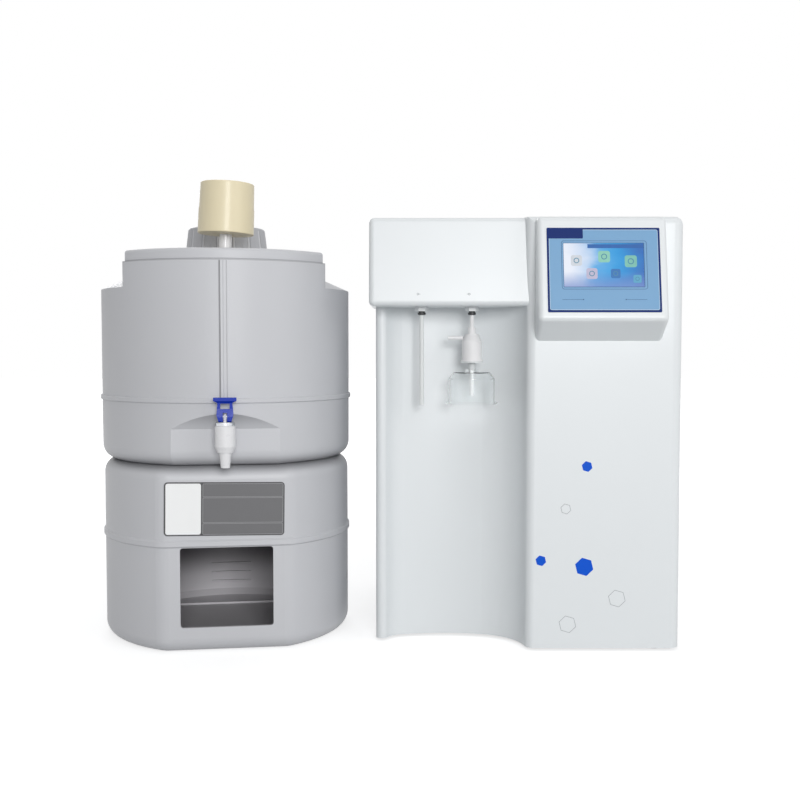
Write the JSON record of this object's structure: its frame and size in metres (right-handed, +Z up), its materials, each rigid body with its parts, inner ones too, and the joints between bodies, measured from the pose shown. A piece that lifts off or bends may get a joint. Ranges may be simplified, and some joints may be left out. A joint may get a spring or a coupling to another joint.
{
  "type": "ultrapure water system",
  "caption": "Bench ultrapure water system: a dispensing unit with a touch screen, a scooped bay and two outlets, beside a storage tank with a tap and a vent filter on a hollow pedestal.",
  "frame": {"origin": "on the bench under the middle of the row of two units", "axes": "+X to the right along the row, the longest extent; +Y to the back; +Z up"},
  "size_m": [0.842, 0.455, 0.656],
  "materials": {
    "black_metal": "black paint",
    "board_green": "green circuit board with solder mask",
    "cap_plastic": "moulded mid grey plastic, satin",
    "cartridge_white": "moulded white plastic, smooth",
    "clear_plastic": "clear moulded plastic",
    "collet_black": "moulded black plastic",
    "cover_white": "white powder coat",
    "fitting_white": "moulded translucent white plastic",
    "frosted_plastic": "frosted moulded plastic",
    "housing_white": "moulded white plastic, smooth satin gloss",
    "overlay_film": "printed blue film, glossy",
    "paper": "pleated filter paper",
    "screen_glass": "touch screen glass over a lit panel",
    "seal_rubber": "moulded black rubber",
    "steel": "bright stainless steel",
    "switch_black": "moulded black plastic, glossy",
    "tank_shell": "rotationally moulded light grey polyethylene, satin",
    "tap_blue": "moulded deep blue plastic, glossy",
    "tap_white": "moulded white plastic, glossy",
    "vent_plastic": "moulded cream plastic, glossy",
    "zinc": "zinc plated sheet"
  },
  "bodies": {
    "housing": {"pedestal": "tank_shell", "tank_body": "tank_shell", "vent_stem": "vent_plastic", "vent_nut": "fitting_white", "vent_base": "vent_plastic", "vent_cover": "vent_plastic", "vent_element": "paper", "tap_body": "tap_white", "tap_washer": "seal_rubber", "tap_nut": "tap_white", "tap_bonnet": "tap_white", "tap_ring": "steel", "tap_spring": "steel", "tank_ports": "fitting_white", "level_sensor": "fitting_white", "port_nuts": "fitting_white", "front_moulding": "housing_white", "rear_cover": "cover_white", "back_panel": "cover_white", "base_plate": "zinc", "unit_feet": "seal_rubber", "display_pod": "housing_white", "display_overlay": "overlay_film", "touchscreen": "screen_glass", "display_board": "board_green", "outlet_unions": "fitting_white", "outlet_lock_nuts": "fitting_white", "dispense_spout": "clear_plastic", "filter_capsule": "frosted_plastic", "filter_membrane": "paper", "filter_barb": "fitting_white", "filter_bell": "clear_plastic", "mounting_plate": "zinc", "polishing_pack_1": "cartridge_white", "polishing_pack_2": "cartridge_white", "prefilters": "cartridge_white", "membrane_housing": "cartridge_white", "lamp_housing": "steel", "cartridge_clips": "fitting_white", "booster_pump": "black_metal", "pump_pads": "seal_rubber", "power_supply": "zinc", "control_board": "board_green", "solenoid_valves": "switch_black", "rear_ports": "fitting_white", "rear_port_nuts": "fitting_white", "power_inlet": "switch_black", "switch_body": "switch_black", "cover_screws": "steel"},
    "tap_plunger": {"tap_stem": "tap_white", "tap_seal": "seal_rubber", "tap_pin": "steel"},
    "tap_handle": {"tap_lever": "tap_blue"},
    "cap_lift": {"cap_seal": "seal_rubber"},
    "cap": {"tank_cap": "cap_plastic"},
    "left_release": {"left_collet": "collet_black"},
    "right_release": {"right_collet": "collet_black"},
    "rocker": {"switch_rocker": "switch_black"}
  },
  "joints": [
    {"name": "tap_plunger_lift", "type": "slide", "parent": "housing", "child": "tap_plunger", "axis": [0, 0, 1], "range_m": [0, 0.002], "deforming": ["tap_spring"]},
    {"name": "tap_lever_tip", "type": "hinge", "parent": "tap_plunger", "child": "tap_handle", "pos_m": [-0.20694, -0.21354, 0.331], "axis": [0.9903, 0.1392, 0], "range_deg": [0, 50], "stiffness_Nm_per_rad": 0.03},
    {"name": "cap_rise", "type": "slide", "parent": "housing", "child": "cap_lift", "axis": [0, 0, 1], "range_m": [0, 0.012]},
    {"name": "cap_unscrew", "type": "hinge", "parent": "cap_lift", "child": "cap", "pos_m": [-0.23756, 0.00432, 0.58], "axis": [0, 0, 1], "range_deg": [0, 720]},
    {"name": "left_collet_press", "type": "slide", "parent": "housing", "child": "left_release", "axis": [0, 0, 1], "range_m": [0, 0.0015], "stiffness_N_per_m": 200},
    {"name": "right_collet_press", "type": "slide", "parent": "housing", "child": "right_release", "axis": [0, 0, 1], "range_m": [0, 0.0015], "stiffness_N_per_m": 200},
    {"name": "power_switch", "type": "hinge", "parent": "housing", "child": "rocker", "pos_m": [0.357, 0.20654, 0.07], "axis": [1, 0, 0], "range_deg": [0, 18]}
  ],
  "couplings": [
    {"joint": "tap_plunger_lift", "follows": "tap_lever_tip", "m_per_rad": 0.0022916},
    {"joint": "cap_rise", "follows": "cap_unscrew", "m_per_rad": 0.00095483}
  ]
}
